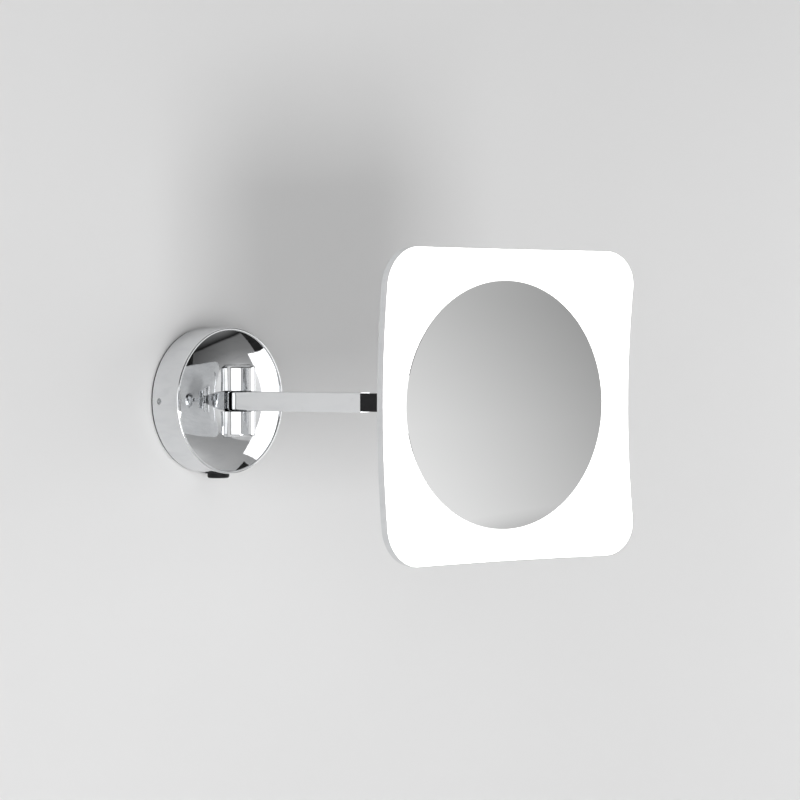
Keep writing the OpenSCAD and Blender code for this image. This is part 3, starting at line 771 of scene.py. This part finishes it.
@dataclass
class Studio:
    """Pale wall and floor, soft lights, a shaded sky and the camera."""

    camera_at: tuple[float, float, float] = (-1.28246, -1.36215, 0.04242)
    azimuth: float = -47.398
    elevation: float = 1.298
    roll: float = 0.02
    lens: float = 121.63
    lights: tuple[SoftLight, ...] = (
        SoftLight("side box", (1.436, -0.49, -0.1), (0.0, -0.03, -0.1), (0.88, 1.15), 4.6),
        SoftLight("camera box", (-2.05, -1.6, 0.0), (0.0, -0.03, 0.0), (3.0, 1.6), 17.0),
        SoftLight("low key", (-0.6, -2.2, -0.75), (0.05, 0.0, 0.0), (0.9, 0.9), 18.5),
    )
    flags: tuple[tuple[float, float, float, float], ...] = (
        (83.0, 28.0, 18.0, 11.0), (74.0, -33.0, 11.0, 5.0), (-16.0, 30.0, 22.0, 11.0),
    )
    bands: tuple[tuple[float, float], ...] = (
        (-1.0, 0.35), (-0.6, 0.38), (-0.35, 0.44), (-0.16, 0.55), (0.0, 0.78), (0.12, 0.9),
        (0.17, 0.36), (0.25, 0.27), (0.33, 0.19), (0.465, 0.15), (0.485, 0.008), (1.0, 0.008),
    )
    flag_out: float = 1.6
    flag_tone: float = 0.006
    wall_y: float = 0.0004
    wall_tone: float = 0.82
    floor_tone: float = 0.92
    half_w: float = 4.0
    floor_z: float = -1.3
    wall_top: float = 3.0
    floor_front: float = -5.0

    def build_flag(self, azimuth: float, elevation: float, half_w: float, half_h: float) -> None:
        """Hangs a black flag in front of the object that only polish can see.

        Args:
            azimuth, elevation: where its middle is, from straight out of the wall.
            half_w, half_h: half its width and height, in degrees.
        """
        a, e = math.radians(azimuth), math.radians(elevation)
        far = self.flag_out
        out = Vector((math.sin(a) * math.cos(e), -math.cos(a) * math.cos(e), math.sin(e)))
        side = out.cross(Vector((0, 0, 1))).normalized()
        top = side.cross(out)
        w, h = (far * math.tan(math.radians(half)) for half in (half_w, half_h))
        mid = out * far
        signs = ((-1, -1), (1, -1), (1, 1), (-1, 1))
        corners = [tuple(mid + side * w * x + top * h * y) for x, y in signs]
        name = f"flag_{azimuth:.0f}_{abs(elevation):.0f}"
        flag = self.sheet(name, corners, self.flag_tone, False)
        flag.visible_camera = flag.visible_diffuse = flag.visible_shadow = False

    def sheet(
        self, name: str, corners: list[tuple[float, float, float]], tone: float, one_sided: bool
    ) -> bpy.types.Object:
        """Lays a flat staged sheet with a faint mottle.

        Args:
            name: object name.
            corners: four corners, in order, seen from its front.
            tone: grey of the sheet.
            one_sided: the sheet can't be seen from behind.

        Returns:
            The staged sheet.
        """
        mesh = bpy.data.meshes.new(name)
        mesh.from_pydata(corners, [], [(0, 1, 2, 3)])
        piece = bpy.data.objects.new(name, mesh)
        bpy.context.scene.collection.objects.link(piece)
        mat = bpy.data.materials.new(name)
        mat.use_nodes = True
        tree = mat.node_tree
        shader, link = tree.nodes["Principled BSDF"], tree.links.new
        shader.inputs["Roughness"].default_value = 0.9
        kinds = ("ShaderNodeTexCoord", "ShaderNodeTexNoise", "ShaderNodeMapRange")
        place, noise, tint = (tree.nodes.new(kind) for kind in kinds)
        noise.inputs["Scale"].default_value = 3.0
        tint.inputs["To Min"].default_value = tone * 0.985
        tint.inputs["To Max"].default_value = tone * 1.015
        link(place.outputs["Object"], noise.inputs["Vector"])
        link(noise.outputs["Fac"], tint.inputs["Value"])
        link(tint.outputs[0], shader.inputs["Base Color"])
        if one_sided:
            kinds = ("ShaderNodeNewGeometry", "ShaderNodeBsdfTransparent", "ShaderNodeMixShader")
            side, clear, mix = (tree.nodes.new(kind) for kind in kinds)
            link(side.outputs["Backfacing"], mix.inputs[0])
            link(shader.outputs[0], mix.inputs[1])
            link(clear.outputs[0], mix.inputs[2])
            link(mix.outputs[0], tree.nodes["Material Output"].inputs["Surface"])
        mesh.materials.append(mat)
        return piece

    def build_sky(self) -> None:
        """Shades the surroundings in level bands, brighter to the right, with a dark ceiling."""
        world = bpy.data.worlds.new("studio")
        bpy.context.scene.world = world
        world.use_nodes = True
        tree = world.node_tree
        link, back = tree.links.new, tree.nodes["Background"]
        kinds = ("ShaderNodeTexCoord", "ShaderNodeSeparateXYZ", "ShaderNodeMapRange", "ShaderNodeMapRange")
        place, split, height, across = (tree.nodes.new(kind) for kind in kinds)
        ramp, join = tree.nodes.new("ShaderNodeValToRGB"), tree.nodes.new("ShaderNodeVectorMath")
        height.inputs["From Min"].default_value = -1.0
        across.inputs["From Min"].default_value, across.inputs["From Max"].default_value = 0.2, 0.66
        across.inputs["To Min"].default_value, across.inputs["To Max"].default_value = 0.58, 1.12
        for k, (z, tone) in enumerate(self.bands):
            mark = ramp.color_ramp.elements[0] if k == 0 else ramp.color_ramp.elements.new((z + 1) / 2)
            mark.position, mark.color = (z + 1) / 2, (tone, tone, tone, 1.0)
        ramp.color_ramp.elements.remove(ramp.color_ramp.elements[-1])
        join.operation = "SCALE"
        link(place.outputs["Generated"], split.inputs[0])
        link(split.outputs["Z"], height.inputs["Value"])
        link(split.outputs["X"], across.inputs["Value"])
        link(height.outputs[0], ramp.inputs[0])
        link(ramp.outputs[0], join.inputs[0])
        link(across.outputs[0], join.inputs["Scale"])
        link(join.outputs[0], back.inputs["Color"])
        back.inputs["Strength"].default_value = 1.0

    def build_camera(self) -> None:
        """Stands the camera where the object is seen from, with no depth of field."""
        a, e, r = (math.radians(v) for v in (self.azimuth, self.elevation, self.roll))
        back = Vector((math.sin(a) * math.cos(e), -math.cos(a) * math.cos(e), math.sin(e)))
        right = Vector((0, 0, 1)).cross(back).normalized()
        up = back.cross(right)
        right, up = right * math.cos(r) + up * math.sin(r), up * math.cos(r) - right * math.sin(r)
        data = bpy.data.cameras.new("camera")
        data.lens, data.sensor_width, data.clip_end = self.lens, 36.0, 50.0
        camera = bpy.data.objects.new("camera", data)
        camera.matrix_world = Matrix.Translation(self.camera_at) @ Matrix((right, up, back)).transposed().to_4x4()
        bpy.context.scene.collection.objects.link(camera)
        bpy.context.scene.camera = camera

    def build(self) -> None:
        """Makes the whole studio."""
        bpy.context.scene.view_settings.view_transform = "Standard"
        self.build_camera()
        self.build_sky()
        w, z, y, top, front = self.half_w, self.floor_z, self.wall_y, self.wall_top, self.floor_front
        wall = [(-w, y, z), (w, y, z), (w, y, top), (-w, y, top)]
        floor = [(-w, front, z), (w, front, z), (w, y, z), (-w, y, z)]
        self.sheet("pale_wall", wall, self.wall_tone, True)
        self.sheet("pale_floor", floor, self.floor_tone, False)
        for light in self.lights:
            light.build()
        for flag in self.flags:
            self.build_flag(*flag)


def main() -> None:
    """Builds the sub-assemblies in order."""
    logging.basicConfig(level=logging.INFO, format="%(name)s: %(message)s")
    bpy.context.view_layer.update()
    maker = FinishMaker()
    for part in (Studio(), WallBase(maker), SwingArm(maker), HeadJoint(maker), MirrorHead(maker)):
        part.build()
        LOG.info("built %s", type(part).__name__)


if __name__ == "__main__":
    main()
